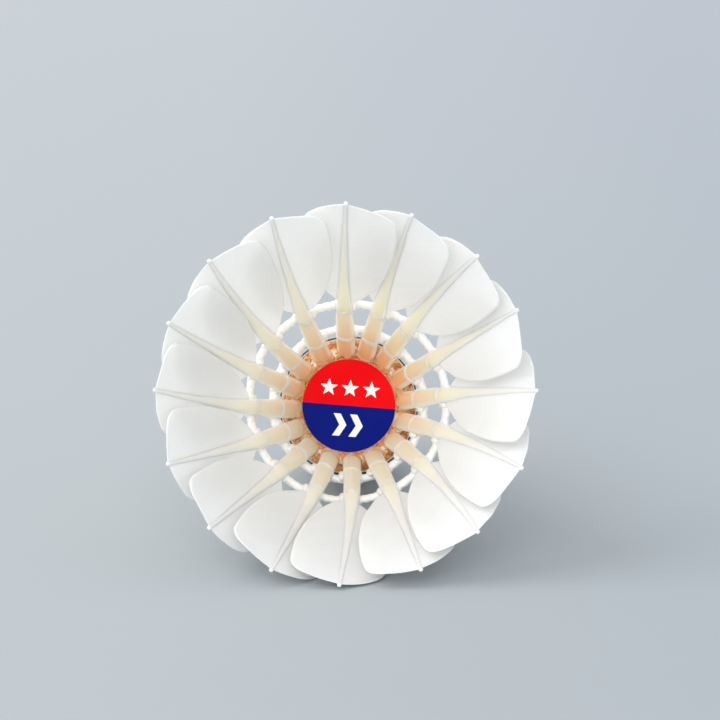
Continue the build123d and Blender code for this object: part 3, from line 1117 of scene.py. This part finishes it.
VANE_MATERIAL = vane_material()
QUILL_MATERIAL = quill_material()
THREAD_MATERIAL = thread_material()
CORK_TOP_MATERIAL = cork_top_material()
CORK_NOSE_MATERIAL = cork_nose_material()
FIBRE_MATERIAL = fibre_material()
SKIN_MATERIAL = skin_material()
RIBBON_MATERIAL = ribbon_material()
GLUE_MATERIAL = glue_material()
RED_MATERIAL = ink_material("red_ink", tone(238, 0, 10), tone(230, 2, 14))
NAVY_MATERIAL = ink_material("navy_ink", tone(0, 20, 128), tone(2, 24, 118))
PAPER_MATERIAL = ink_material("label_paper", tone(244, 242, 238), tone(232, 228, 220))
WHITE_INK_MATERIAL = ink_material("white_ink", tone(250, 250, 250), tone(242, 242, 242))


# ------------------------ the shuttle

for number, feather in enumerate(FEATHERS, start=1):
    build_quill(number, feather)
    build_vanes(number, feather)
for node, height in THREAD_ROWS.items():
    build_thread_row(node, height)
build_cork_top()
build_crumbs()
build_root_glue()
build_cork_nose()
build_skin()
build_band()
build_label()


# ------------------------ stage, light and camera

FLOOR_HALF = 6.0
CAMERA_AZIMUTH = 0.4
CAMERA_ELEVATION = 13.48
CAMERA_DISTANCE = 766.0
CAMERA_SHIFT = (2.1, 8.6)    # sideways and upwards, in millimetres
CAMERA_LENS = 203.35


def build_floor():
    corners = [(x * FLOOR_HALF, y * FLOOR_HALF, 0) for x, y in ((-1, -1), (1, -1), (1, 1), (-1, 1))]
    mesh = bpy.data.meshes.new("floor")
    mesh.from_pydata(corners, [], [(0, 1, 2, 3)])
    m = Material("floor_paper", 0.75, Specular_IOR_Level=0.2)
    # painted light: the floor's colour grows lighter towards the back in place of the lamps' falloff, and a
    # painted shadow darkens it towards the right
    distance = m.node("SeparateXYZ")
    m.join(m.node("TexCoord").outputs["Object"], distance.inputs["Vector"])
    painted_far_light = m.spread(distance.outputs["Y"], -0.10, 0.65)
    painted_right_shadow = m.spread(distance.outputs["X"], -0.04, 0.09)
    level = m.mix(painted_far_light, tone(175, 182, 185), tone(200, 206, 211))
    m.base(m.mix(painted_right_shadow, level, tone(244, 245, 250), "MULTIPLY"))
    mesh.materials.append(m.data)
    floor = add_object("floor", mesh)


def add_light(name, place, aim, size, power, colour=(1.0, 1.0, 1.0)):
    light = bpy.data.lights.new(name, "AREA")
    light.shape = "SQUARE"
    light.size = size
    light.energy = power
    light.color = colour
    lamp = add_object(name, light)
    lamp.location = place
    look_at(lamp, place, aim)


def look_at(item, place, aim):
    back = unit(np.array(place) - np.array(aim))
    side = unit(np.cross((0.0, 0.0, 1.0), back))
    set_pose(item, side, np.cross(back, side), back, place)


def set_pose(item, side, up, back, place):
    matrix = np.eye(4)
    matrix[:3, 0], matrix[:3, 1], matrix[:3, 2], matrix[:3, 3] = side, up, back, place
    item.matrix_world = Matrix(matrix.tolist())


def build_camera():
    """Camera looking into the open end from a little above, with a long lens."""
    azimuth, elevation = math.radians(CAMERA_AZIMUTH), math.radians(CAMERA_ELEVATION)
    side = np.array([math.cos(azimuth), math.sin(azimuth), 0.0])
    back = np.array([
        math.sin(azimuth) * math.cos(elevation),
        -math.cos(azimuth) * math.cos(elevation),
        math.sin(elevation),
    ])
    up = np.cross(back, side)
    aside, above = CAMERA_SHIFT
    place = FACE_CENTRE + MM * (aside * side + above * up + CAMERA_DISTANCE * back)
    data = bpy.data.cameras.new("camera")
    data.sensor_width = 36.0
    data.lens = CAMERA_LENS
    data.clip_start = 0.01
    camera = add_object("camera", data)
    set_pose(camera, side, up, back, place)
    bpy.context.scene.camera = camera


build_floor()
centre = (0.0, 0.0, 0.03)
add_light("key", (-0.75, -0.25, 0.85), centre, 0.9, 5.0, (1.0, 0.99, 0.975))
add_light("front_fill", (-0.20, -1.4, 0.62), centre, 1.0, 10.5)
world = bpy.data.worlds.new("studio")
world.use_nodes = True
world.node_tree.nodes["Background"].inputs["Color"].default_value = (0.81, 0.825, 0.845, 1.0)
world.node_tree.nodes["Background"].inputs["Strength"].default_value = 1.0
bpy.context.scene.world = world
bpy.context.scene.view_settings.view_transform = "Standard"
build_camera()
